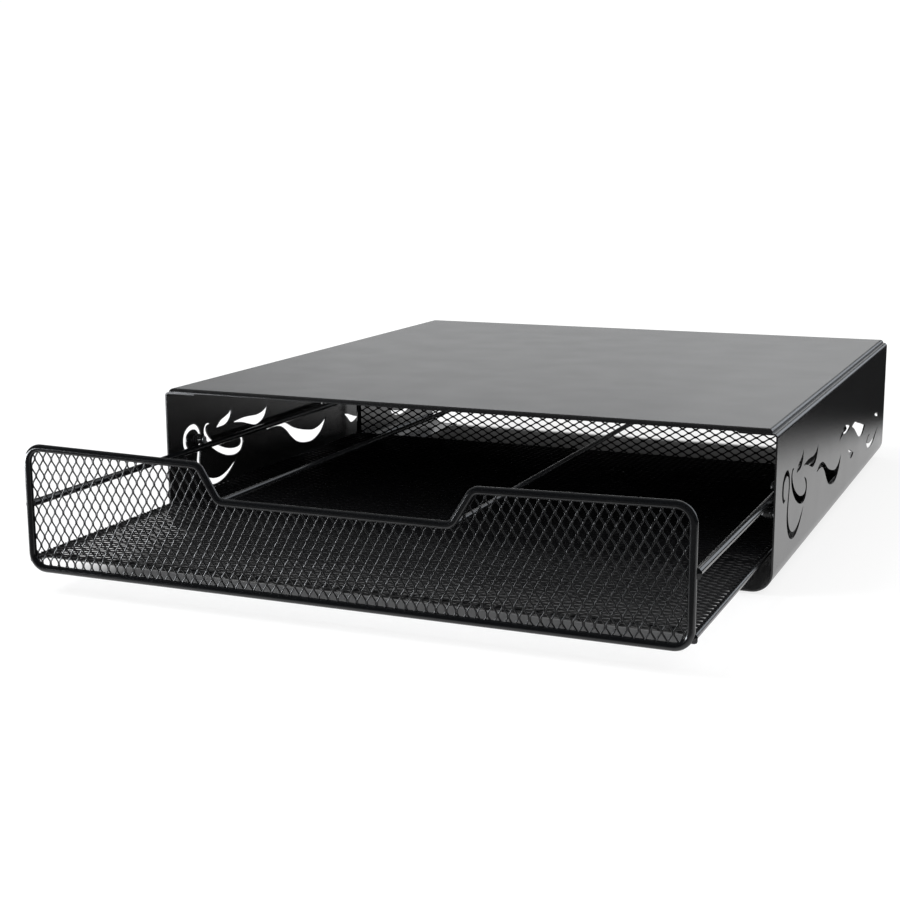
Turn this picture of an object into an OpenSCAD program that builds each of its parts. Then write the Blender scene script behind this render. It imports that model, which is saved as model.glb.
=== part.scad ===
// Coffee pod drawer: a folded steel stand for a coffee maker, with a wire and expanded-metal
// drawer that rolls out of it. X runs across the front, Y runs from front to back and Z is up.
// The drawer is drawn part way out, and the origin is under the middle of the whole product.

/* [Casing] */
// Width over the side panels
casing_w = 326.5; // [310:0.5:345]
// Depth from front edge to back edge
casing_d = 350; // [330:1:380]
// Height without the foot pads
casing_h = 77; // [74:0.5:90]
// Sheet thickness
sheet = 0.8; // [0.6:0.1:1.2]
// Outside radius of the bend along the bottom of a side panel
bottom_bend = 10; // [6:0.5:12]
// Outside radius of the shoulder along the top of a side panel
top_bend = 2; // [1.5:0.1:2]
// Width of the flange turned in under a side panel
bottom_flange_w = 20.5; // [18:0.5:30]
// Width of the flange turned in under the top panel
top_flange_w = 18; // [12:0.5:30]

/* [Top panel] */
// Distance of the top panel's edge from the side panel's outer face
top_inset = 2.5; // [2.5:0.1:8]
// Height of the top panel above the shoulders, and of its folded lip
top_rise = 2.1; // [2:0.1:4]
// Outside radius of the fold
top_fold = 1.9; // [1:0.1:1.9]

/* [Drawer] */
// How far the drawer's front stands out of the casing
drawer_out = 125.5; // [20:0.5:280]
// Gap between the drawer's frame and the inside of a side panel
side_gap = 3.95; // [3.2:0.05:6]
// Length between the centres of the front and back frame wires
drawer_l = 341; // [320:1:341]
// Height of the frame's bottom wire above the casing's underside, to its centre
frame_bottom = 10.85; // [9:0.05:14]
// Height of the frame's upper corners above the casing's underside, to the wire's centre
frame_top = 68.3; // [62:0.05:69]
// How much lower the front frame's top wire is beside the finger notch
notch_dip = 1.65; // [0:0.05:3]
// Bend radius of the frame corners, to the wire's centre
frame_bend = 7.25; // [5:0.25:10]
// Height of the finger notch's lower wire, to its centre
notch_bottom = 50.8; // [46:0.1:56]
// Width of the notch between its lower corners
notch_w = 111; // [80:1:160]
// How far each upper corner of the notch leans outwards
notch_lean = 9.5; // [4:0.5:20]
// Bend radius in the notch's corners
notch_bend = 5; // [4:0.5:7]

/* [Wire] */
// Diameter of the frame and rail wire
wire_d = 3.5; // [3:0.1:4]
// Diameter of the rails that carry the floor
low_rail_d = 3; // [2.5:0.1:3.5]
// Diameter of the divider and cross wires
thin_wire_d = 2.5; // [2:0.1:3]
// Height of the side rails, to their centre
mid_rail_z = 40.8; // [38:0.1:46]
// Height of the low rails, to their centre
low_rail_z = 14.6; // [14:0.1:18]

/* [Expanded metal] */
// Length of a diamond opening, bond to bond
diamond_long = 8.2; // [6:0.1:14]
// Width of a diamond opening, bond to bond
diamond_short = 4.6; // [4:0.1:8]
// Width of a strand
strand_w = 0.6; // [0.5:0.1:1.2]
// Thickness of a strand
strand_t = 0.5; // [0.3:0.1:0.6]
// Width of the closed hem round a sheet
hem_w = 1.2; // [0.8:0.1:2]

/* [Rollers] */
// Radius of a roller's tread
tread_r = 2.5; // [2.2:0.05:2.7]
// Radius of a roller's flange
roller_flange_r = 3; // [3:0.1:5]
// Radius of the stud's shank
stud_r = 1.1; // [1:0.1:1.4]
// Distance of the front rollers behind the casing's front edge
front_roller_y = 7; // [5:0.5:10]
// Distance of the hold-down rollers behind the casing's front edge
hold_down_y = 26; // [20:0.5:40]

/* [Pads and glides] */
// Diameter of a foot pad
pad_d = 9.6; // [6:0.2:9.8]
// Thickness of a foot pad
pad_t = 1.2; // [0.8:0.1:3]
// Distance of the foot pads from the front and back edges
pad_inset = 16; // [10:1:60]
// Width of a rear glide along the wire
glide_w = 6; // [4:0.5:6]
// Length of a rear glide
glide_l = 9; // [8:0.5:12]

/* [Hidden] */
$fn = 64;

casing_colour = [0.10, 0.10, 0.11];
wire_colour = [0.08, 0.08, 0.09];
mesh_colour = [0.14, 0.14, 0.15];
roller_colour = [0.16, 0.16, 0.16];
stud_colour = [0.70, 0.71, 0.73];
pad_colour = [0.20, 0.20, 0.20];

// Clearance of a running fit, of a sliding face, and of parts that pass each other
fit = 0.05;
slide_gap = 0.1;
pass_gap = 0.3;

// Places along Y. The product's two ends lie evenly about the origin.
casing_front = (drawer_out - casing_d) / 2;
front_wire_y = casing_front - drawer_out + wire_d / 2;

// Casing
half_w = casing_w / 2;
wall_in = half_w - sheet;
shoulder_z = casing_h - top_rise;
top_half_w = half_w - top_inset;

// Drawer frame: the rails stand a little outside the middle of the frames' side wires
frame_half = wall_in - side_gap - wire_d / 2;
mid_rail_x = frame_half + 1;
low_rail_x = frame_half + 0.25;
divider_x = notch_w / 2;
floor_z = low_rail_z + low_rail_d / 2;
bend_steps = 6;
wire_sides = 16;
front_corners = [
    [-frame_half, frame_bottom, frame_bend],
    [frame_half, frame_bottom, frame_bend],
    [frame_half, frame_top, frame_bend],
    [divider_x + notch_lean, frame_top - notch_dip, notch_bend],
    [divider_x, notch_bottom, notch_bend],
    [-divider_x, notch_bottom, notch_bend],
    [-divider_x - notch_lean, frame_top - notch_dip, notch_bend],
    [-frame_half, frame_top, frame_bend]
];
back_corners = [for (i = [0, 1, 2, 7]) front_corners[i]];
front_path = rounded(front_corners);
back_path = rounded(back_corners);
frame_mid_z = (frame_bottom + frame_top) / 2;

// Expanded metal: the two strand directions lie one behind the other, a hair apart
seam = 0.02;
sheet_t = 2 * strand_t + seam;
floor_half_w = frame_half + 1.2;
floor_y0 = wire_d / 2 + slide_gap;
floor_y1 = drawer_l - wire_d / 2 - slide_gap;
cross_z = floor_z - thin_wire_d / 2;
cross_half = low_rail_x - low_rail_d / 2;
cross_inset = 8;

// Rollers: the tread is tangent to the rail, below it at the front and above it behind
roller_drop = tread_r + wire_d / 2 + fit;
tread_in = 1;
flange_in = wire_d / 2 + pass_gap;
flange_t = 1.3;
head_r = 1.8;
head_t = 0.8;
collar_r = 2.2;

// Pads and glides
pad_x = half_w - bottom_bend - pad_d / 2;
glide_x = half_w - bottom_flange_w + 0.45 + glide_w / 2;
glide_top = frame_bottom + 3.4;
glide_bottom = sheet + slide_gap;
glide_slit = sheet_t + 2 * pass_gap;

// Cut-outs of a side panel. Each is a stroke along a spline through
// [distance from the front edge, height, stroke width].
scrolls = [
    // hook
    [[22.5, 39.5, 0.5], [19.3, 39.5, 2], [16.8, 42.2, 3.2], [16.3, 45.6, 3.6], [17.6, 49.1, 3.4],
     [21.8, 51.5, 3.2], [27, 51.5, 2.8], [30.8, 48.1, 2.6], [31.3, 43.1, 2.4], [29.9, 37.1, 2.6],
     [29.2, 31.1, 3.2], [31, 25.5, 3.6], [36, 20.3, 3.8], [43, 17.6, 3.5], [51, 17.3, 3.1],
     [58.5, 19.2, 2.6], [65.5, 22.9, 1.6], [70, 26.2, 0.4]],
    // crescent
    [[42, 50.8, 0.4], [38.5, 50.6, 1.8], [37, 47.8, 2.8], [38.4, 44.2, 3.2], [43, 39.6, 3.4],
     [50, 35.4, 3.7], [59, 31.9, 3.9], [67.5, 30.5, 4], [73.6, 31.2, 3.7], [76.3, 34.2, 3],
     [75.2, 37.8, 2.4], [70.5, 41, 0.4]],
    // small leaf above the crescent
    [[49, 47.4, 0.4], [54, 49.1, 3.6], [59.5, 50.2, 4.6], [63.6, 52.5, 3.2], [65.3, 55.9, 0.4]],
    // long leaf
    [[68, 47.5, 0.4], [77, 47.2, 2.4], [85, 46, 4.4], [93, 44.8, 5.7], [100, 45.9, 5], [104.2, 48.4, 3],
     [106.3, 51.2, 0.4]],
    // swoosh
    [[105, 36.8, 0.4], [112.5, 38.1, 2.4], [121.5, 37.6, 2.8], [129.5, 34.3, 4], [136.5, 30, 6],
     [144, 26.6, 7.8], [154, 24.3, 7.8], [163.5, 23.6, 6.8], [172, 25.6, 5], [177.5, 28.8, 2.8], [181, 32.1, 0.4]],
    // leaf above the swoosh's tail
    [[174, 41, 0.4], [183, 43.8, 3], [193, 43.9, 5], [202, 43.2, 4], [211.5, 43, 0.4]],
    // drop
    [[207.5, 29.5, 0.4], [212, 27.7, 2.6], [216.7, 25.2, 4.6], [221.5, 24.5, 3.2], [226.5, 24.8, 0.4]],
    // broad leaf
    [[217.5, 41.7, 0.4], [227, 40.7, 4.2], [235, 38.3, 6.2], [243, 35.6, 7.8], [252, 33.7, 8], [260, 33.1, 5.6],
     [267.5, 34.2, 0.4]],
    // rear leaf
    [[308, 34.1, 0.4], [317, 32.8, 2.6], [326.5, 30.4, 0.4]],
    // rear curl
    [[289.5, 24.6, 0.4], [284, 24.4, 1.2], [279, 21.2, 2], [285, 18.2, 2.8], [295.8, 17.2, 3.4],
     [309, 18.8, 2.4], [324.5, 23.9, 0.4]]
];
spline_steps = 4;

// Point t of the way from b to c on the spline through a, b, c and d
function spline_point(a, b, c, d, t) =
    (2 * b + (c - a) * t + (2 * a - 5 * b + 4 * c - d) * t^2 + (3 * b - a - 3 * c + d) * t^3) / 2;

function spline(c) = let (last = len(c) - 1) [
    for (i = [0:last - 1]) for (k = [0:spline_steps - 1])
        spline_point(c[max(i - 1, 0)], c[i], c[i + 1], c[min(i + 2, last)], k / spline_steps),
    c[last]
];

// Point on one side of a spline, half its stroke width away
function stroke_side(s, i, side) =
    let (run = s[min(i + 1, len(s) - 1)] - s[max(i - 1, 0)], l = norm([run.x, run.y]))
    [s[i].x - side * run.y / l * s[i].z / 2, s[i].y + side * run.x / l * s[i].z / 2];

function stroke(c) = let (s = spline(c), last = len(s) - 1) [
    for (i = [0:last]) stroke_side(s, i, 1),
    for (i = [last:-1:0]) stroke_side(s, i, -1)
];

// Points of one rounded corner, each [x, z, heading], for a corner [x, z, bend radius]
function corner_points(before, at, after) =
    let (
        b = [before.x - at.x, before.y - at.y],
        a = [after.x - at.x, after.y - at.y],
        ub = b / norm(b),
        ua = a / norm(a),
        half = acos(ub * ua) / 2,
        centre = [at.x, at.y] + (ub + ua) / norm(ub + ua) * at.z / sin(half),
        turn = sign(cross(-ub, ua)),
        swing = 180 - 2 * half,
        start = [at.x, at.y] + ub * at.z / tan(half) - centre,
        a0 = atan2(start.y, start.x)
    )
    [for (k = [0:bend_steps]) let (w = a0 + turn * swing * k / bend_steps)
        [centre.x + at.z * cos(w), centre.y + at.z * sin(w), w + turn * 90]];

function rounded(corners) = let (n = len(corners)) [
    for (i = [0:n - 1]) each corner_points(corners[(i + n - 1) % n], corners[i], corners[(i + 1) % n])
];

// Outline that runs beside a path, towards its left
function beside(path, d) = [for (p = path) [p.x - d * sin(p.z), p.y + d * cos(p.z)]];

module place_casing() translate([0, casing_front, pad_t]) children();

module place_drawer() translate([0, front_wire_y, pad_t]) children();

module mirrored(side) {
    if (side < 0) mirror([1, 0, 0]) children();
    else children();
}

// Turns a flat XY shape upright, its Y along Z, and sets its middle at y
module upright(y) translate([0, y, 0]) rotate([90, 0, 0]) children();

module bar_x(half_l, d) rotate([0, 90, 0]) cylinder(h = 2 * half_l, d = d, center = true);

module bar_y(y0, y1, d) translate([0, y0, 0]) rotate([-90, 0, 0]) cylinder(h = y1 - y0, d = d);

// Closed loop of bent wire along a rounded path in the XZ plane
module wire_loop(path) {
    n = len(path);
    points = [for (p = path) for (k = [0:wire_sides - 1])
        let (w = 360 * k / wire_sides, r = wire_d / 2 * cos(w))
        [p.x - r * sin(p.z), wire_d / 2 * sin(w), p.y + r * cos(p.z)]];
    faces = [for (i = [0:n - 1]) for (k = [0:wire_sides - 1])
        let (j = (i + 1) % n, m = (k + 1) % wire_sides)
        [i * wire_sides + k, i * wire_sides + m, j * wire_sides + m, j * wire_sides + k]];
    polyhedron(points, faces);
}

// Openings between the strands of one direction, over a sheet of size [w, h]
module strand_gaps(size, cell_w, cell_h, lean) {
    slope = atan(cell_h / cell_w);
    reach = size.y / sin(slope) + 2 * cell_w;
    n = ceil((size.x + size.y * cell_w / cell_h) / cell_w / 2);
    for (k = [-n:n]) translate([(k + 0.5) * cell_w, 0]) rotate(lean * slope)
        square([reach, cell_w * sin(slope) - strand_w], center = true);
}

// Sheet of expanded metal: children are its outline and the outline inside its hem
module expanded_metal(size, cell_w, cell_h) {
    for (lean = [-1, 1]) translate([0, 0, lean * (strand_t + seam) / 2])
        linear_extrude(strand_t, center = true) difference() {
            children(0);
            intersection() {
                children(1);
                strand_gaps(size, cell_w, cell_h, lean);
            }
        }
}

module framed_mesh(path, cell_w, cell_h) {
    size = [2 * frame_half, frame_top - frame_bottom];
    translate([0, 0, frame_mid_z]) rotate([90, 0, 0]) expanded_metal(size, cell_w, cell_h) {
        translate([0, -frame_mid_z]) polygon(beside(path, wire_d / 2));
        translate([0, -frame_mid_z]) polygon(beside(path, wire_d / 2 + hem_w));
    }
}

module quarter_bend(r) intersection() {
    difference() {
        circle(r);
        circle(r - sheet);
    }
    square(r);
}

module side_profile() {
    translate([half_w - bottom_flange_w, 0]) square([bottom_flange_w - bottom_bend, sheet]);
    translate([half_w - bottom_bend, bottom_bend]) mirror([0, 1]) quarter_bend(bottom_bend);
    translate([wall_in, bottom_bend]) square([sheet, shoulder_z - bottom_bend - top_bend]);
    translate([half_w - top_bend, shoulder_z - top_bend]) quarter_bend(top_bend);
    translate([half_w - top_flange_w, shoulder_z - sheet]) square([top_flange_w - top_bend, sheet]);
}

module scroll_cutters() {
    for (s = scrolls) translate([wall_in - 1, 0, 0]) rotate([90, 0, 90])
        linear_extrude(sheet + 2) polygon(stroke(s));
}

module side_panel(side) {
    color(casing_colour) place_casing() mirrored(side) difference() {
        upright(casing_d) linear_extrude(casing_d) side_profile();
        scroll_cutters();
    }
}

// Section of a folded pan, w wide and open below, with its upper corners rounded
module pan_section(w, h, r) {
    square([w, h - r]);
    translate([r, h - r]) square([w - 2 * r, r]);
    for (x = [r, w - r]) translate([x, h - r]) intersection() {
        circle(r);
        translate([-r, 0]) square([2 * r, r]);
    }
}

// Block that is rounded along its four upper edges
module pan_block(w, l, h, r) intersection() {
    translate([-w / 2, l, 0]) rotate([90, 0, 0]) linear_extrude(l) pan_section(w, h, r);
    translate([-w / 2, 0, 0]) rotate([90, 0, 90]) linear_extrude(w) pan_section(l, h, r);
}

module top_panel() {
    inner = top_fold - sheet;
    color(casing_colour) place_casing() translate([0, 0, shoulder_z]) difference() {
        pan_block(2 * top_half_w, casing_d, top_rise, top_fold);
        translate([0, sheet, -1])
            pan_block(2 * (top_half_w - sheet), casing_d - 2 * sheet, top_rise + 1 - sheet, inner);
    }
}

// Turned stud, welded to the side panel: collar, shank and upset head, along X
module roller_stud(y, z) {
    x0 = mid_rail_x - tread_in - fit;
    x1 = mid_rail_x + flange_in + flange_t + fit;
    translate([0, y, z]) rotate([90, 0, 90]) rotate_extrude() polygon([
        [0, x0 - head_t], [head_r, x0 - head_t], [head_r, x0], [stud_r, x0],
        [stud_r, x1], [collar_r, x1], [collar_r, wall_in], [0, wall_in]
    ]);
}

module roller_studs() {
    color(stud_colour) place_casing() for (side = [-1, 1]) mirrored(side) {
        roller_stud(front_roller_y, mid_rail_z - roller_drop);
        roller_stud(hold_down_y, mid_rail_z + roller_drop);
    }
}

// Roller with one flange, on the side of the casing's wall
module roller(side, y, z) {
    chamfer = 0.3;
    x0 = mid_rail_x - tread_in;
    x1 = mid_rail_x + flange_in;
    x2 = x1 + flange_t;
    bore_r = stud_r + fit;
    color(roller_colour) place_casing() mirrored(side) translate([0, y, z]) rotate([90, 0, 90])
        rotate_extrude() polygon([
            [bore_r, x0], [tread_r - chamfer, x0], [tread_r, x0 + chamfer], [tread_r, x1],
            [roller_flange_r - chamfer, x1], [roller_flange_r, x1 + chamfer],
            [roller_flange_r, x2 - chamfer], [roller_flange_r - chamfer, x2], [bore_r, x2]
        ]);
}

module front_roller(side) roller(side, front_roller_y, mid_rail_z - roller_drop);

module hold_down_roller(side) roller(side, hold_down_y, mid_rail_z + roller_drop);

module foot_pad(side, y) {
    color(pad_colour) place_casing() translate([side * pad_x, y, -pad_t])
        cylinder(h = pad_t, d = pad_d);
}

module front_frame() color(wire_colour) place_drawer() wire_loop(front_path);

module back_frame() color(wire_colour) place_drawer() translate([0, drawer_l, 0]) wire_loop(back_path);

module front_mesh() color(mesh_colour) place_drawer()
    framed_mesh(front_path, diamond_short, diamond_long);

module back_mesh() color(mesh_colour) place_drawer() translate([0, drawer_l, 0])
    framed_mesh(back_path, diamond_long, diamond_short);

module floor_mesh() {
    size = [2 * floor_half_w, floor_y1 - floor_y0];
    color(mesh_colour) place_drawer()
        translate([0, (floor_y0 + floor_y1) / 2, floor_z + sheet_t / 2])
        expanded_metal(size, diamond_long, diamond_short) {
            square(size, center = true);
            square(size - 2 * [hem_w, hem_w], center = true);
        }
}

// Straight wire, butt-welded between the front frame and the back frame
module rail(side, x, z, d) {
    color(wire_colour) place_drawer() translate([side * x, 0, z])
        bar_y(wire_d / 2, drawer_l - wire_d / 2, d);
}

module mid_rail(side) rail(side, mid_rail_x, mid_rail_z, wire_d);

module low_rail(side) rail(side, low_rail_x, low_rail_z, low_rail_d);

// Wire between the pod lanes, from the notch's lower corner to the back cross wire
module divider_wire(side) {
    y0 = wire_d / 2;
    y1 = drawer_l - sheet_t / 2 - thin_wire_d;
    color(wire_colour) place_drawer() translate([side * divider_x, 0, notch_bottom])
        bar_y(y0, y1, thin_wire_d);
}

module back_cross_wire() {
    y = drawer_l - sheet_t / 2 - thin_wire_d / 2;
    color(wire_colour) place_drawer() translate([0, y, notch_bottom])
        bar_x(frame_half - wire_d / 2, thin_wire_d);
}

// Wire across the floor, part = 0 at its front edge and 1 at its back edge
module floor_wire(part) {
    y = cross_inset + part * (drawer_l - 2 * cross_inset);
    color(wire_colour) place_drawer() translate([0, y, cross_z]) bar_x(cross_half, thin_wire_d);
}

// Block pressed onto the back frame's bottom wire, sliding on the casing's bottom flange. The
// back mesh stands in a slit in its top.
module rear_glide(side) {
    r = 1.5;
    h = glide_top - glide_bottom;
    color(roller_colour) place_drawer() translate([side * glide_x, drawer_l, 0]) difference() {
        translate([-glide_w / 2, 0, 0]) rotate([90, 0, 90]) linear_extrude(glide_w) {
            translate([r - glide_l / 2, glide_bottom]) square([glide_l - 2 * r, h]);
            translate([-glide_l / 2, glide_bottom + r]) square([glide_l, h - 2 * r]);
            for (y = [-1, 1]) for (z = [glide_bottom + r, glide_top - r])
                translate([y * (glide_l / 2 - r), z]) circle(r);
        }
        translate([0, 0, frame_bottom]) bar_x(glide_w, wire_d + 2 * fit);
        translate([-glide_w, -glide_slit / 2, frame_bottom]) cube([2 * glide_w, glide_slit, h]);
    }
}

top_panel();
side_panel(-1);  // side_panel_left
side_panel(1);  // side_panel_right
roller_studs();
foot_pad(-1, pad_inset);  // foot_pad_front_left
foot_pad(1, pad_inset);  // foot_pad_front_right
foot_pad(-1, casing_d - pad_inset);  // foot_pad_rear_left
foot_pad(1, casing_d - pad_inset);  // foot_pad_rear_right
front_roller(-1);  // front_roller_left
front_roller(1);  // front_roller_right
hold_down_roller(-1);  // hold_down_roller_left
hold_down_roller(1);  // hold_down_roller_right
front_frame();
front_mesh();
back_frame();
back_mesh();
floor_mesh();
mid_rail(-1);  // mid_rail_left
mid_rail(1);  // mid_rail_right
low_rail(-1);  // low_rail_left
low_rail(1);  // low_rail_right
divider_wire(-1);  // divider_wire_left
divider_wire(1);  // divider_wire_right
back_cross_wire();
floor_wire(0);  // floor_wire_front
floor_wire(1 / 3);  // floor_wire_middle_front
floor_wire(2 / 3);  // floor_wire_middle_rear
floor_wire(1);  // floor_wire_rear
rear_glide(-1);  // rear_glide_left
rear_glide(1);  // rear_glide_right
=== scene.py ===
"""Looks of a coffee pod drawer: a folded steel stand with a drawer of wire and expanded metal.

The drawer's two wire frames, its three sheets of expanded metal and its weld beads are made here. The other
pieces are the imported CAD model's own, and get their materials here.

X runs across the front, Y from front to back and Z up, in the frame of the CAD model. The object's lengths
are in millimetres until they reach a mesh, which is in metres. The stage is in metres throughout.
"""
import math

import bpy
import numpy as np
from mathutils import Matrix, Vector, noise


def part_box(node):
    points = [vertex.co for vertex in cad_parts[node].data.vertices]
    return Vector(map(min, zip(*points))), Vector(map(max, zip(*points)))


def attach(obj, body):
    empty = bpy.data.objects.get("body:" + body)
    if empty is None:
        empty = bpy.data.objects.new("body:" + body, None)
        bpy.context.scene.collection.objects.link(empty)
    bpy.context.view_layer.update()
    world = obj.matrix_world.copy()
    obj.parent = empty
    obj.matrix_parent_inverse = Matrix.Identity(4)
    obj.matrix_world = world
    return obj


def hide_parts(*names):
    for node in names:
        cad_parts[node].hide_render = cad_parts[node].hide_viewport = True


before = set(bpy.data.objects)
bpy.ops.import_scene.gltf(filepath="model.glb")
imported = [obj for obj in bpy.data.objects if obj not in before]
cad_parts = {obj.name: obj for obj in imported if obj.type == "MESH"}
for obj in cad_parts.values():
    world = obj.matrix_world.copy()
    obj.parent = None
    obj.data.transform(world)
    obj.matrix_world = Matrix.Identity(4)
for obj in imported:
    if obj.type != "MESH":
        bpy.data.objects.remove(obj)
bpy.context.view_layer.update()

MM = 0.001

# ---------------------------------------------------------------- sizes read from the frame


def box_mm(node):
    """Lowest and highest corner of a CAD node, in millimetres."""
    low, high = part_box(node)
    return np.array(low) / MM, np.array(high) / MM


def wire_of(node):
    """Centre and radius of a straight, level CAD wire."""
    low, high = box_mm(node)
    return (low + high) / 2, (high[2] - low[2]) / 2


front_low, front_high = box_mm("front_frame")
back_low, back_high = box_mm("back_frame")
WIRE_R = (front_high[1] - front_low[1]) / 2
FRONT_Y = (front_high[1] + front_low[1]) / 2
BACK_Y = (back_high[1] + back_low[1]) / 2
FRAME_HALF = front_high[0] - WIRE_R
FRAME_BOTTOM = front_low[2] + WIRE_R
FRAME_TOP = front_high[2] - WIRE_R
divider_mid, DIVIDER_R = wire_of("divider_wire_right")
DIVIDER_X, NOTCH_Z = divider_mid[0], divider_mid[2]
mid_rail_mid, MID_RAIL_R = wire_of("mid_rail_right")
low_rail_mid, LOW_RAIL_R = wire_of("low_rail_right")
floor_low, floor_high = box_mm("floor_mesh")

# Bends of the frame wires, as in the CAD model
FRAME_BEND = 7.25
NOTCH_BEND = 5
NOTCH_LEAN = 9.5
NOTCH_DIP = 1.65

# Steps round each bend, and sides of the round wire
BEND_STEPS = 16
WIRE_SIDES = 24

# Diamonds of the expanded metal, and the length of a bond between two strands
CELL_LONG = 8.2
CELL_SHORT = 4.6
STRAND_PITCH = CELL_SHORT / 2
BOND_LENGTH = 1.1
# Strand width and thickness of each sheet
FRONT_STOCK = (0.80, 0.55)
BACK_STOCK = (0.70, 0.50)
FLOOR_STOCK = (0.58, 0.42)
# Turn of a strand's flat side out of its sheet
STRAND_TILT = math.radians(24)
# Places between two bonds, as parts of the way, and a strand's sideways shift there
STRAND_BENDS = ((0.16, 0.78), (0.84, -0.78))
# The front and back sheets' outermost strands keep this far from the frame wires' centre lines
SHEET_EDGE = 0.6
# The front sheet hangs a little turned in its frame, about one of its bonds [x, z]
FRONT_BOND = np.array([-145.26, 35.6])
FRONT_TURN = math.radians(1.3)
# One bond of the back sheet's lowest strand
BACK_BOND_X = 1.0


# ---------------------------------------------------------------- meshes


def make_object(name, vertices, faces, material, body, smooth=True):
    """Object from points in millimetres, riding on a body."""
    mesh = bpy.data.meshes.new(name)
    mesh.from_pydata((np.asarray(vertices) * MM).tolist(), [], faces)
    mesh.polygons.foreach_set("use_smooth", [smooth] * len(mesh.polygons))
    mesh.materials.append(material)
    mesh.update()
    piece = bpy.data.objects.new(name, mesh)
    bpy.context.scene.collection.objects.link(piece)
    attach(piece, body)
    return piece


def tube_faces(rings, sides, first, closed):
    """Quads between rings of points that start at index first, with end caps unless closed."""
    faces = []
    for i in range(rings if closed else rings - 1):
        a, b = first + i * sides, first + (i + 1) % rings * sides
        for k in range(sides):
            m = (k + 1) % sides
            faces.append((a + k, a + m, b + m, b + k))
    if not closed:
        faces.append(tuple(first + k for k in reversed(range(sides))))
        last = first + (rings - 1) * sides
        faces.append(tuple(last + k for k in range(sides)))
    return faces


def rounded_path(corners):
    """Closed path of points [x, z] through corners [x, z, bend radius]."""
    points = []
    for i, (x, z, radius) in enumerate(corners):
        at = np.array([x, z])
        before = np.array(corners[i - 1][:2]) - at
        after = np.array(corners[(i + 1) % len(corners)][:2]) - at
        before = before / np.linalg.norm(before)
        after = after / np.linalg.norm(after)
        half = math.acos(before @ after) / 2
        middle = before + after
        centre = at + middle / np.linalg.norm(middle) * radius / math.sin(half)
        turn = -math.copysign(1, after[1] * before[0] - after[0] * before[1])
        start = at + before * radius / math.tan(half) - centre
        angle = math.atan2(start[1], start[0])
        swing = math.pi - 2 * half
        for k in range(BEND_STEPS + 1):
            w = angle + turn * swing * k / BEND_STEPS
            points.append([centre[0] + radius * math.cos(w), centre[1] + radius * math.sin(w)])
    return np.array(points)


def wire_loop(name, path, y, material):
    """Round wire along a closed path in the plane at y."""
    ahead = np.roll(path, -1, 0) - path
    ahead /= np.linalg.norm(ahead, axis=1)[:, None]
    run = ahead + np.roll(ahead, 1, 0)
    run /= np.linalg.norm(run, axis=1)[:, None]
    outward = np.stack([run[:, 1], -run[:, 0]], 1)
    vertices = []
    for point, out in zip(path, outward):
        for k in range(WIRE_SIDES):
            w = 2 * math.pi * k / WIRE_SIDES
            r = WIRE_R * math.cos(w)
            vertices.append([point[0] + r * out[0], y + WIRE_R * math.sin(w), point[1] + r * out[1]])
    faces = tube_faces(len(path), WIRE_SIDES, 0, closed=True)
    return make_object(name, vertices, faces, material, "drawer")


def strand_section(stock, sides):
    """Points [across, through] round a strand's flat section, with cut corners if it has 8 sides."""
    w, t = stock[0] / 2, stock[1] / 2
    if sides == 4:
        return np.array([[w, -t], [w, t], [-w, t], [-w, -t]])
    cut_w, cut_t = 0.6 * w, 0.4 * t
    return np.array([[w, -cut_t], [w, cut_t], [cut_w, t], [-cut_w, t],
                     [-w, cut_t], [-w, -cut_t], [-cut_w, -t], [cut_w, -t]])


def strand_stations(start, end, phase, bends):
    """Places along a strand and its sideways shift there, -1 to 1, for bonds at phase + k/2 cells."""
    half = CELL_LONG / 2
    shortest = 0.01
    first = math.floor((start - phase) / half) - 1
    last = math.ceil((end - phase) / half) + 1
    places, shifts = [], []
    for j in range(first, last + 1):
        side = 1 if j % 2 == 0 else -1
        at = phase + j * half
        for s in (-1, 1):
            places.append(at + s * BOND_LENGTH / 2)
            shifts.append(side)
        for part, shift in bends:
            places.append(at + BOND_LENGTH / 2 + part * (half - BOND_LENGTH))
            shifts.append(side * shift)
    places, shifts = np.array(places), np.array(shifts)
    inside = (places > start + shortest) & (places < end - shortest)
    ends = np.interp([start, end], places, shifts)
    return (np.concatenate([[start], places[inside], [end]]),
            np.concatenate([[ends[0]], shifts[inside], [ends[1]]]))


def strand(places, shifts, across, to_space, width, section):
    """Ring points of one strand. to_space turns [along, across] into a point and the sheet's axes."""
    overlap = 0.02
    flat_width = width * math.cos(STRAND_TILT)
    swing = (STRAND_PITCH - flat_width) / 2 + overlap
    lift = width * math.sin(STRAND_TILT) / 2
    points, sides, normals = to_space(places, across + shifts * swing)
    points = points - normals * (shifts * lift)[:, None]
    run = np.gradient(points, axis=0)
    run /= np.linalg.norm(run, axis=1)[:, None]
    flat = math.cos(STRAND_TILT) * sides + math.sin(STRAND_TILT) * normals
    flat -= (flat * run).sum(1)[:, None] * run
    flat /= np.linalg.norm(flat, axis=1)[:, None]
    through = np.cross(run, flat)
    rings = points[:, None] + section[None, :, :1] * flat[:, None] + section[None, :, 1:] * through[:, None]
    return rings.reshape(-1, 3)


def expanded_metal(name, lines, to_space, material, stock, sides, bends):
    """Sheet of strands. lines holds [across, start, end, phase] of each strand."""
    section = strand_section(stock, sides)
    vertices, faces = [], []
    count = 0
    for across, start, end, phase in lines:
        places, shifts = strand_stations(start, end, phase, bends)
        rings = strand(places, shifts, across, to_space, stock[0], section)
        faces += tube_faces(len(places), sides, count, closed=False)
        vertices.append(rings)
        count += len(rings)
    return make_object(name, np.concatenate(vertices), faces, material, "drawer", smooth=sides > 4)


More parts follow.
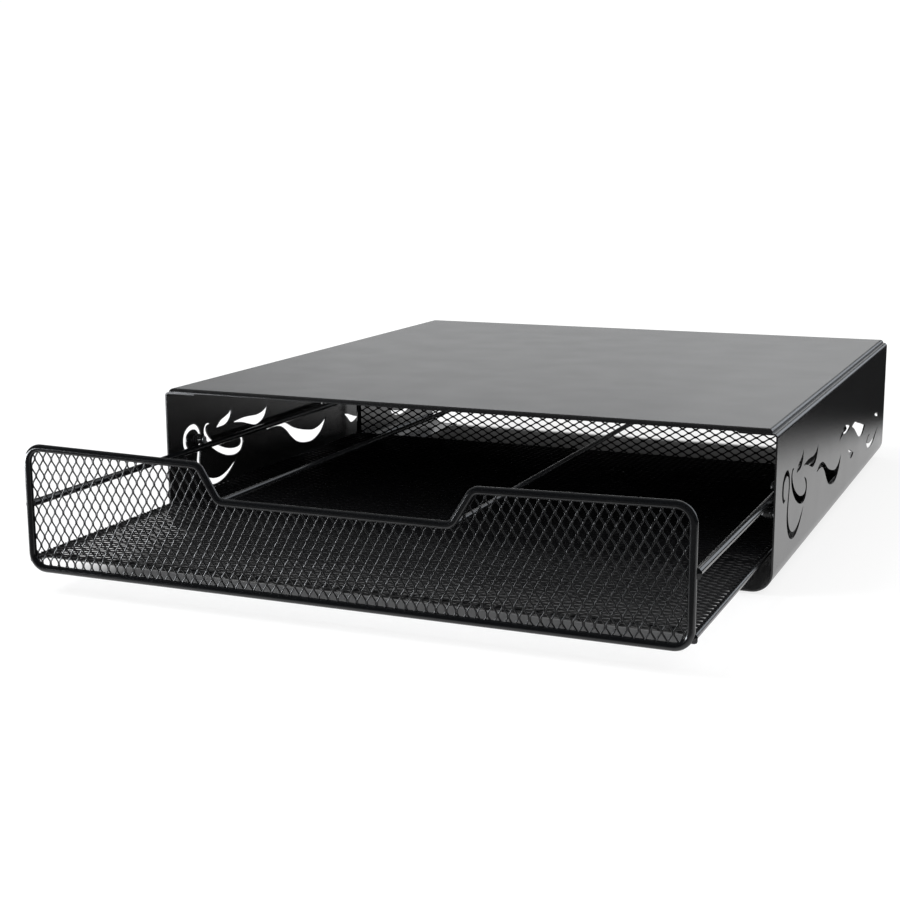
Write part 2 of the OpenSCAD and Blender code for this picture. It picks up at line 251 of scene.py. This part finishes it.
def span_inside(path, x):
    """Lowest and highest z of a closed path at x."""
    ahead = np.roll(path, -1, 0)
    crossing = (path[:, 0] - x) * (ahead[:, 0] - x) < 0
    a, b = path[crossing], ahead[crossing]
    z = a[:, 1] + (x - a[:, 0]) / (b[:, 0] - a[:, 0]) * (b[:, 1] - a[:, 1])
    return z.min(), z.max()


def row_inside(path, z):
    """Lowest and highest x of a closed path at z."""
    return span_inside(path[:, ::-1], z)


def front_mesh(path, material):
    """Front sheet: its strands stand upright, from wire to wire."""
    cos, sin = math.cos(FRONT_TURN), math.sin(FRONT_TURN)
    level = np.array([[cos, -sin], [sin, cos]])
    turned = (path - FRONT_BOND) @ level
    lines = []
    first = math.ceil((turned[:, 0].min() + SHEET_EDGE) / STRAND_PITCH - 0.5)
    last = math.floor((turned[:, 0].max() - SHEET_EDGE) / STRAND_PITCH - 0.5)
    for k in range(first, last + 1):
        across = (k + 0.5) * STRAND_PITCH
        low, high = span_inside(turned, across)
        lines.append([across, low, high, (k % 2 + 1) * CELL_LONG / 2])

    def to_space(along, across):
        one = np.ones_like(along)
        at = np.stack([across, along], 1) @ level.T + FRONT_BOND
        return (np.stack([at[:, 0], FRONT_Y * one, at[:, 1]], 1),
                np.stack([cos * one, 0 * one, sin * one], 1), np.stack([0 * one, -one, 0 * one], 1))
    return expanded_metal("front_expanded_metal", lines, to_space, material, FRONT_STOCK, 8, STRAND_BENDS)


def back_mesh(path, material):
    """Back sheet: its strands lie level."""
    lines = []
    count = int((FRAME_TOP - FRAME_BOTTOM - 2 * SHEET_EDGE) / STRAND_PITCH)
    for k in range(count + 1):
        z = FRAME_BOTTOM + SHEET_EDGE + k * STRAND_PITCH
        low, high = row_inside(path, z)
        lines.append([z, low, high, BACK_BOND_X + (k % 2) * CELL_LONG / 2])

    def to_space(along, across):
        one = np.ones_like(along)
        return (np.stack([along, BACK_Y * one, across], 1),
                np.stack([0 * one, 0 * one, one], 1), np.stack([0 * one, -one, 0 * one], 1))
    return expanded_metal("back_expanded_metal", lines, to_space, material, BACK_STOCK, 4, STRAND_BENDS)


def floor_mesh(material):
    """Floor sheet: its strands run across, and their ends bend down round the low rails."""
    edge, clearance = 0.5, 0.05
    rail_x, rail_z = low_rail_mid[0], low_rail_mid[2]
    bend = LOW_RAIL_R + FLOOR_STOCK[1] / 2 + clearance
    wrap = math.radians(28)
    reach = rail_x + bend * wrap
    count = int((floor_high[1] - floor_low[1] - 2 * edge) / STRAND_PITCH)
    lines = []
    for k in range(count + 1):
        lines.append([floor_low[1] + edge + k * STRAND_PITCH, -reach, reach, (k % 2) * CELL_LONG / 2])

    def to_space(along, across):
        one = np.ones_like(along)
        side = np.sign(along)
        turn = np.clip((np.abs(along) - rail_x) / bend, 0, wrap)
        x = np.where(turn > 0, side * (rail_x + bend * np.sin(turn)), along)
        z = np.where(turn > 0, rail_z + bend * np.cos(turn), rail_z + bend)
        normal = np.stack([side * np.sin(turn), 0 * one, np.cos(turn)], 1)
        return np.stack([x, across, z], 1), np.stack([0 * one, one, 0 * one], 1), normal
    return expanded_metal("floor_expanded_metal", lines, to_space, material, FLOOR_STOCK, 4, ())


def weld_bead(at, direction, radius, seed):
    """Rough fillet round a wire of that radius, at the foot of its butt joint, along direction.

    Its thin end dips into the wire and its thick end into what the wire meets. Gives back its ring points
    and how many sides and rings it has.
    """
    sides, rings = 18, 6
    length, rise, sunk, dip = 1.5, 0.85, 0.7, 0.12
    lumps_round, lumps_along, lump_height, lump_share = 1.3, 2, 0.12, 0.5
    turn = Vector(direction).normalized().to_track_quat("Z", "Y").to_matrix()
    vertices = []
    for i in range(rings):
        part = i / (rings - 1)
        spread = rise * (1 - part) ** 2 - dip * part
        for k in range(sides):
            w = 2 * math.pi * k / sides
            spot = (math.cos(w) * lumps_round, math.sin(w) * lumps_round, part * lumps_along + seed)
            rough = noise.noise(Vector(spot))
            r = radius + spread * (1 + lump_share * rough) + lump_height * rough * (1 - part)
            local = Vector((r * math.cos(w), r * math.sin(w), -sunk + part * length))
            vertices.append(list(Vector(at) + turn @ local))
    return vertices, sides, rings


def weld_beads(joints, material):
    """Beads at all butt joints of the drawer, each [point, direction, radius]."""
    seed_step = 3.7
    vertices, faces = [], []
    for i, (at, direction, radius) in enumerate(joints):
        ring_points, sides, rings = weld_bead(at, direction, radius, seed_step * i)
        faces += tube_faces(rings, sides, len(vertices), closed=False)
        vertices += ring_points
    return make_object("weld_beads", vertices, faces, material, "drawer")


# ---------------------------------------------------------------- materials

# Depth of the bumps in every finish
RELIEF_DEPTH = 0.02


def node_tree(name):
    """New material with an empty Principled shader: the material, its nodes, its links and the shader."""
    material = bpy.data.materials.new(name)
    material.use_nodes = True
    nodes = material.node_tree.nodes
    nodes.clear()
    output = nodes.new("ShaderNodeOutputMaterial")
    shader = nodes.new("ShaderNodeBsdfPrincipled")
    material.node_tree.links.new(shader.outputs[0], output.inputs[0])
    return material, nodes, material.node_tree.links, shader


def noise_node(nodes, links, scale, detail, roughness=0.5):
    """Noise over the object's own coordinates. scale is in cells per metre."""
    place = nodes.new("ShaderNodeTexCoord")
    texture = nodes.new("ShaderNodeTexNoise")
    texture.inputs["Scale"].default_value = scale
    texture.inputs["Detail"].default_value = detail
    texture.inputs["Roughness"].default_value = roughness
    links.new(place.outputs["Object"], texture.inputs["Vector"])
    return texture


def spread_node(nodes, links, source, low, high):
    """Maps a noise of about 0.3 to 0.7 to the range low to high."""
    spread = nodes.new("ShaderNodeMapRange")
    spread.inputs["From Min"].default_value = 0.3
    spread.inputs["From Max"].default_value = 0.7
    spread.inputs["To Min"].default_value = low
    spread.inputs["To Max"].default_value = high
    links.new(source.outputs["Fac"], spread.inputs["Value"])
    return spread.outputs["Result"]


def mottled_colour(nodes, links, source, dark, light):
    """Two colours mixed by a noise."""
    mix = nodes.new("ShaderNodeMix")
    mix.data_type = "RGBA"
    mix.inputs["A"].default_value = (*dark, 1)
    mix.inputs["B"].default_value = (*light, 1)
    links.new(spread_node(nodes, links, source, 0, 1), mix.inputs["Factor"])
    return mix.outputs["Result"]


def bumps(nodes, links, source, strength):
    """Surface normals with the relief of a noise."""
    bump = nodes.new("ShaderNodeBump")
    bump.inputs["Strength"].default_value = strength
    bump.inputs["Distance"].default_value = RELIEF_DEPTH * MM
    links.new(source.outputs["Fac"], bump.inputs["Height"])
    return bump.outputs["Normal"]


def coat_material(name, dark, light, rough_low, rough_high, peel_scale, specular=0.5):
    """Baked black coating: orange peel, a finer grain, and slight unevenness of gloss and colour."""
    material, nodes, links, shader = node_tree(name)
    clouds = noise_node(nodes, links, 38, 3)
    grain = noise_node(nodes, links, 2600, 2)
    peel = noise_node(nodes, links, peel_scale, 4, 0.6)
    links.new(mottled_colour(nodes, links, grain, dark, light), shader.inputs["Base Color"])
    links.new(spread_node(nodes, links, clouds, rough_low, rough_high), shader.inputs["Roughness"])
    links.new(bumps(nodes, links, peel, 0.5), shader.inputs["Normal"])
    shader.inputs["IOR"].default_value = 1.5
    shader.inputs["Specular IOR Level"].default_value = specular
    return material


def plain_material(name, dark, light, roughness, metallic=0.0):
    """Moulded or turned piece with faint tool marks and mottling."""
    material, nodes, links, shader = node_tree(name)
    mottle = noise_node(nodes, links, 300, 3)
    marks = noise_node(nodes, links, 1500, 2)
    rough_low, rough_high = roughness * 0.8, roughness * 1.2
    links.new(mottled_colour(nodes, links, mottle, dark, light), shader.inputs["Base Color"])
    links.new(spread_node(nodes, links, mottle, rough_low, rough_high), shader.inputs["Roughness"])
    links.new(bumps(nodes, links, marks, 0.3), shader.inputs["Normal"])
    shader.inputs["Metallic"].default_value = metallic
    return material


def make_materials():
    """All finishes of the object, by a short name."""
    return {
        "casing": coat_material("casing_black_coat", (0.006, 0.006, 0.0062), (0.010, 0.010, 0.0103),
                                0.25, 0.27, 900),
        "wire": coat_material("wire_black_coat", (0.002, 0.0022, 0.0026), (0.004, 0.0043, 0.005),
                              0.16, 0.22, 700),
        "mesh": coat_material("mesh_black_coat", (0.002, 0.002, 0.0023), (0.004, 0.004, 0.0045),
                              0.24, 0.32, 900, specular=0.35),
        "nylon": plain_material("black_nylon", (0.008, 0.008, 0.0085), (0.014, 0.014, 0.0145), 0.22),
        "steel": plain_material("zinc_plated_steel", (0.55, 0.56, 0.58), (0.68, 0.69, 0.71), 0.3, 1.0),
        "rubber": plain_material("pad_rubber", (0.018, 0.018, 0.018), (0.03, 0.03, 0.03), 0.75),
    }


def paint(node, material):
    """Gives a CAD node its material."""
    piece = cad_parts[node]
    if not piece.material_slots:
        piece.data.materials.append(material)
    for holder in piece.material_slots:
        holder.material = material


def paint_frame(materials):
    """Materials of all CAD nodes that stay in view."""
    for node in ("top_panel", "side_panel_left", "side_panel_right"):
        paint(node, materials["casing"])
    wires = ["back_cross_wire"]
    wires += [f"floor_wire_{place}" for place in ("front", "middle_front", "middle_rear", "rear")]
    for side in ("left", "right"):
        wires += [f"{wire}_{side}" for wire in ("mid_rail", "low_rail", "divider_wire")]
        for node in (f"front_roller_{side}", f"hold_down_roller_{side}", f"rear_glide_{side}"):
            paint(node, materials["nylon"])
        for end in ("front", "rear"):
            paint(f"foot_pad_{end}_{side}", materials["rubber"])
    for node in wires:
        paint(node, materials["wire"])
    paint("roller_studs", materials["steel"])


# ---------------------------------------------------------------- the drawer's new pieces


def frame_corners():
    """Corners [x, z, bend radius] of the front frame. The first two and last two are its outer ones."""
    shoulder = DIVIDER_X + NOTCH_LEAN
    right = [[FRAME_HALF, FRAME_BOTTOM, FRAME_BEND], [FRAME_HALF, FRAME_TOP, FRAME_BEND],
             [shoulder, FRAME_TOP - NOTCH_DIP, NOTCH_BEND], [DIVIDER_X, NOTCH_Z, NOTCH_BEND]]
    left = [[-x, z, r] for x, z, r in reversed(right)]
    return right + left


def butt_joints():
    """Joints of the drawer's straight wires: [point, direction, radius]."""
    joints = []
    ahead, behind = (0, 1, 0), (0, -1, 0)
    front, back = FRONT_Y + WIRE_R, BACK_Y - WIRE_R
    cross_mid, cross_r = wire_of("back_cross_wire")
    for side in (-1, 1):
        for mid, radius in ((mid_rail_mid, MID_RAIL_R), (low_rail_mid, LOW_RAIL_R)):
            joints.append([(side * mid[0], front, mid[2]), ahead, radius])
            joints.append([(side * mid[0], back, mid[2]), behind, radius])
        joints.append([(side * DIVIDER_X, front, NOTCH_Z), ahead, DIVIDER_R])
        joints.append([(side * DIVIDER_X, cross_mid[1] - cross_r, NOTCH_Z), behind, DIVIDER_R])
        end = side * (FRAME_HALF - WIRE_R)
        joints.append([(end, cross_mid[1], cross_mid[2]), (-side, 0, 0), cross_r])
        for place in ("front", "middle_front", "middle_rear", "rear"):
            mid, radius = wire_of(f"floor_wire_{place}")
            end = side * (low_rail_mid[0] - LOW_RAIL_R)
            joints.append([(end, mid[1], mid[2]), (-side, 0, 0), radius])
    return joints


def make_drawer(materials):
    """Frames, sheets and weld beads. Gives back the front sheet."""
    corners = frame_corners()
    front_path = rounded_path(corners)
    back_path = rounded_path(corners[:2] + corners[-2:])
    wires = (("front_wire_frame", front_path, FRONT_Y, "front_frame"),
             ("back_wire_frame", back_path, BACK_Y, "back_frame"))
    for name, path, y, node in wires:
        loop = wire_loop(name, path, y, materials["wire"])
        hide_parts(node)
    sheets = ((front_mesh(front_path, materials["mesh"]), "front_mesh"),
              (back_mesh(back_path, materials["mesh"]), "back_mesh"),
              (floor_mesh(materials["mesh"]), "floor_mesh"))
    for sheet, node in sheets:
        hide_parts(node)
    beads = weld_beads(butt_joints(), materials["wire"])
    return sheets[0][0]


# ---------------------------------------------------------------- shader pieces of the stage, in metres


def join_node(nodes, links, operation, first, second):
    """One of Blender's math operations on two values."""
    node = nodes.new("ShaderNodeMath")
    node.operation = operation
    links.new(first, node.inputs[0])
    links.new(second, node.inputs[1])
    return node.outputs[0]


def mix_node(nodes, links, factor, first, second):
    """The first shader where factor is 0 and the second where it is 1. factor is a value or a number."""
    node = nodes.new("ShaderNodeMixShader")
    if isinstance(factor, float):
        node.inputs[0].default_value = factor
    else:
        links.new(factor, node.inputs[0])
    links.new(first, node.inputs[1])
    links.new(second, node.inputs[2])
    return node.outputs[0]


def ramp_node(nodes, links, value, edges, at_near, at_far):
    """Smooth change from at_near to at_far while a value goes from one edge to the other."""
    step = nodes.new("ShaderNodeMapRange")
    step.interpolation_type = "SMOOTHSTEP"
    step.inputs["From Min"].default_value, step.inputs["From Max"].default_value = edges
    step.inputs["To Min"].default_value = at_near
    step.inputs["To Max"].default_value = at_far
    links.new(value, step.inputs["Value"])
    return step.outputs["Result"]


def reach_along(nodes, links, vector, direction):
    """How far a vector reaches along a direction."""
    reach = nodes.new("ShaderNodeVectorMath")
    reach.operation = "DOT_PRODUCT"
    reach.inputs[1].default_value = Vector(direction).normalized()
    links.new(vector, reach.inputs[0])
    return reach.outputs["Value"]


def ray_kinds(nodes, links):
    """Two values: 1 for the camera's own rays, and 1 for rays that gloss or glass sends out."""
    ray = nodes.new("ShaderNodeLightPath")
    glossy, through_glass = ray.outputs["Is Glossy Ray"], ray.outputs["Is Transmission Ray"]
    return ray.outputs["Is Camera Ray"], join_node(nodes, links, "MAXIMUM", glossy, through_glass)


def glow(nodes, strength, colour=(1, 1, 1)):
    """Plain emission."""
    node = nodes.new("ShaderNodeEmission")
    node.inputs["Color"].default_value = (*colour, 1)
    node.inputs["Strength"].default_value = strength
    return node.outputs[0]


def matt(nodes, tone):
    """Plain grey diffuse surface."""
    node = nodes.new("ShaderNodeBsdfDiffuse")
    node.inputs["Color"].default_value = (tone, tone, tone, 1)
    return node.outputs[0]


def finish(nodes, links, shader, kind="Material"):
    """Output node of a material or a world."""
    output = nodes.new("ShaderNodeOutput" + kind)
    links.new(shader, output.inputs[0])


def stage_sheet(name, corners, material_name):
    """Flat sheet of the stage: its object, and its material's nodes and links, still empty."""
    mesh = bpy.data.meshes.new(name)
    mesh.from_pydata(corners, [], [(0, 1, 2, 3)])
    sheet = bpy.data.objects.new(name, mesh)
    bpy.context.scene.collection.objects.link(sheet)
    material = bpy.data.materials.new(material_name)
    material.use_nodes = True
    material.node_tree.nodes.clear()
    mesh.materials.append(material)
    return sheet, material.node_tree.nodes, material.node_tree.links


def show_in_reflections_only(sheet):
    """Hides a sheet from the camera and from diffuse light, and takes away its shadow."""
    sheet.visible_camera = sheet.visible_diffuse = sheet.visible_shadow = False


# ---------------------------------------------------------------- stage


def clear_of_box(nodes, links, place, low, high):
    """0 where the floor lies under a box and gets a painted shadow, 1 away from it. The painted shadow sets
    in a little behind the box's front edge.
    """
    left_edge, right_edge = (-0.024, 0.021), (-0.018, -0.012)
    front_edge, back_edge = (-0.040, -0.031), (0.0, 0.012)
    edges = (((-1, 0, 0), -low[0], left_edge), ((1, 0, 0), high[0], right_edge),
             ((0, -1, 0), -low[1], front_edge), ((0, 1, 0), high[1], back_edge))
    away = None
    for direction, side, (near, far) in edges:
        reach = reach_along(nodes, links, place, direction)
        past = ramp_node(nodes, links, reach, (side + near, side + far), 0, 1)
        away = join_node(nodes, links, "MAXIMUM", away, past) if away else past
    return away


def make_floor(drawer_piece):
    """Pale floor that keeps the object's shadow. It is seen only from above.

    It shows white to the camera. Under the casing and under the drawer, wherever that stands, it shows a
    painted shadow of dark diffuse, and near the object it also keeps the object's real shadow. In
    reflections it is a white table with the same painted shadow, and it ends in front and to the right.
    """
    half = 4.0
    camera_fade, least_white = (0.40, 0.90), 0.70
    table_ends = (((0.923, 0.386, 0), (0.275, 0.325), 1), ((0, -1, 0), (0.240, 0.300), 0.9))
    casing_low, casing_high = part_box("side_panel_left")[0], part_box("side_panel_right")[1]
    drawer_low, drawer_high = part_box("front_frame")[0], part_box("back_frame")[1]

    corners = [(-half, -half, 0), (half, -half, 0), (half, half, 0), (-half, half, 0)]
    _, nodes, links = stage_sheet("floor", corners, "pale_floor_with_painted_shadow")
    geometry = nodes.new("ShaderNodeNewGeometry")
    place = geometry.outputs["Position"]
    from_camera, from_gloss = ray_kinds(nodes, links)
    # The second diffuse, of tone 0.12, is a painted shadow under the casing and under the drawer.
    plain, painted_shadow = matt(nodes, 0.8), matt(nodes, 0.12)

    # Mask of the painted shadow: 0 under the casing and under the drawer, which it follows as the drawer
    # slides, and 1 on the open floor.
    on_drawer = nodes.new("ShaderNodeTexCoord")
    on_drawer.object = drawer_piece
    off_casing = clear_of_box(nodes, links, place, casing_low, casing_high)
    off_drawer = clear_of_box(nodes, links, on_drawer.outputs["Object"], drawer_low, drawer_high)
    clear_of_painted_shadow = join_node(nodes, links, "MINIMUM", off_casing, off_drawer)

    distance = nodes.new("ShaderNodeVectorMath")
    distance.operation = "LENGTH"
    links.new(place, distance.inputs[0])
    whiteness = ramp_node(nodes, links, distance.outputs["Value"], camera_fade, least_white, 1)
    for_camera = mix_node(nodes, links, whiteness, plain, glow(nodes, 1.12))
    # Painted shadow as the camera sees it.
    for_camera = mix_node(nodes, links, clear_of_painted_shadow, painted_shadow, for_camera)

    table = mix_node(nodes, links, 0.5, plain, glow(nodes, 1.3))
    # The same painted shadow in reflections of the table.
    table = mix_node(nodes, links, clear_of_painted_shadow, painted_shadow, table)
    beyond = glow(nodes, 0.012)
    for direction, edges, darkness in table_ends:
        reach = reach_along(nodes, links, place, direction)
        table = mix_node(nodes, links, ramp_node(nodes, links, reach, edges, 0, darkness), table, beyond)

    seen = mix_node(nodes, links, from_camera, plain, for_camera)
    seen = mix_node(nodes, links, from_gloss, seen, table)
    clear = nodes.new("ShaderNodeBsdfTransparent")
    seen = mix_node(nodes, links, geometry.outputs["Backfacing"], seen, clear.outputs[0])
    finish(nodes, links, seen)


def make_wall():
    """Wall behind the object that shows only in reflections: bright, with a dark gap before its right part.

    It fades to the left and has a dark base. Its left part also fades upwards.
    """
    wall_y, half, height = 1.5, 3.0, 2.0
    left_fade, left_part, gap, right_part = (-1.5, -0.8), (-0.35, -0.25), (0.06, 0.16), (0.26, 0.36)
    base, top_fade = (0.10, 0.22), (0.48, 0.75)

    corners = [(-half, wall_y, 0), (half, wall_y, 0), (half, wall_y, height), (-half, wall_y, height)]
    wall, nodes, links = stage_sheet("wall", corners, "reflected_wall")
    show_in_reflections_only(wall)
    place = nodes.new("ShaderNodeNewGeometry").outputs["Position"]
    across = reach_along(nodes, links, place, (1, 0, 0))
    up = reach_along(nodes, links, place, (0, 0, 1))

    dim = glow(nodes, 0.06)
    seen = glow(nodes, 0.96, (0.98, 0.99, 1.0))
    seen = mix_node(nodes, links, ramp_node(nodes, links, across, left_fade, 0.45, 0), seen, dim)
    seen = mix_node(nodes, links, ramp_node(nodes, links, across, gap, 0, 1), seen, dim)
    right_glow = glow(nodes, 1.5, (0.88, 0.93, 1.0))
    seen = mix_node(nodes, links, ramp_node(nodes, links, across, right_part, 0, 1), seen, right_glow)
    top_left = join_node(nodes, links, "MINIMUM", ramp_node(nodes, links, across, left_part, 1, 0),
                         ramp_node(nodes, links, up, top_fade, 0, 1))
    seen = mix_node(nodes, links, top_left, seen, dim)
    seen = mix_node(nodes, links, ramp_node(nodes, links, up, base, 1, 0), seen, dim)
    finish(nodes, links, seen)


def make_card():
    """Bright card at the left that shows only in reflections. It stands lower than the casing's top."""
    x, near_y, far_y, height = -0.48, -0.62, -0.16, 0.075
    corners = [(x, near_y, 0), (x, far_y, 0), (x, far_y, height), (x, near_y, height)]
    card, nodes, links = stage_sheet("card", corners, "reflected_card")
    show_in_reflections_only(card)
    finish(nodes, links, glow(nodes, 26.0, (0.93, 0.96, 1.0)))


def make_world():
    """White to the camera; in reflections, a dim room that is lighter behind the object."""
    bright_side, brightening = (-0.25, 0.95, 0.25), (0.0, 0.75)
    world = bpy.data.worlds.new("studio")
    bpy.context.scene.world = world
    world.use_nodes = True
    nodes, links = world.node_tree.nodes, world.node_tree.links
    nodes.clear()

    def background(strength, colour=(1, 1, 1)):
        node = nodes.new("ShaderNodeBackground")
        node.inputs["Color"].default_value = (*colour, 1)
        node.inputs["Strength"].default_value = strength
        return node

    light, white = background(0.75), background(1.03)
    room = background(1, (0.97, 0.985, 1.0))
    place = nodes.new("ShaderNodeTexCoord")
    facing = reach_along(nodes, links, place.outputs["Generated"], bright_side)
    links.new(ramp_node(nodes, links, facing, brightening, 0.02, 0.30), room.inputs["Strength"])
    from_camera, from_gloss = ray_kinds(nodes, links)
    seen = mix_node(nodes, links, from_gloss, light.outputs[0], room.outputs[0])
    seen = mix_node(nodes, links, from_camera, seen, white.outputs[0])
    finish(nodes, links, seen, "World")


def area_lamp(name, at, size, watts, colour):
    """Square lamp that shines on the frame's origin and doesn't show in reflections."""
    lamp = bpy.data.lights.new(name, "AREA")
    lamp.shape = "RECTANGLE"
    lamp.size = lamp.size_y = size
    lamp.energy = watts
    lamp.color = colour
    holder = bpy.data.objects.new(name, lamp)
    holder.location = at
    holder.rotation_euler = (-Vector(at)).to_track_quat("-Z", "Y").to_euler()
    holder.visible_glossy = False
    bpy.context.scene.collection.objects.link(holder)


def make_lamps():
    """Two soft lamps from the front. The highlights come from the wall, the table and the card instead."""
    area_lamp("key", (-0.9, -0.5, 1.3), 0.7, 16, (0.93, 0.96, 1.0))
    area_lamp("fill", (1.1, -1.0, 0.9), 0.9, 9, (1.0, 1.0, 1.0))


def make_camera():
    """Camera at the photograph's viewing angle."""
    image_width, sensor_width = 900, 36.0
    focal_pixels = 1555.9
    yaw, pitch, roll = 0.4057, 0.1952, 0.0042
    casing_front_y = box_mm("top_panel")[0][1]
    pad_z = box_mm("side_panel_right")[0][2]
    place = Vector((299.6, -693.0 + casing_front_y, 204.8 + pad_z)) * MM
    data = bpy.data.cameras.new("camera")
    data.sensor_width = sensor_width
    data.lens = focal_pixels * sensor_width / image_width
    data.clip_start, data.clip_end = 0.01, 50
    camera = bpy.data.objects.new("camera", data)
    turn = Matrix.Rotation(yaw, 3, "Z") @ Matrix.Rotation(math.pi / 2 - pitch, 3, "X")
    turn = turn @ Matrix.Rotation(-roll, 3, "Z")
    camera.matrix_world = Matrix.Translation(place) @ turn.to_4x4()
    bpy.context.scene.collection.objects.link(camera)
    bpy.context.scene.camera = camera


bpy.context.scene.view_settings.view_transform = "Standard"
make_camera()
finishes = make_materials()
paint_frame(finishes)
front_sheet = make_drawer(finishes)
make_world()
make_floor(front_sheet)
make_wall()
make_card()
make_lamps()
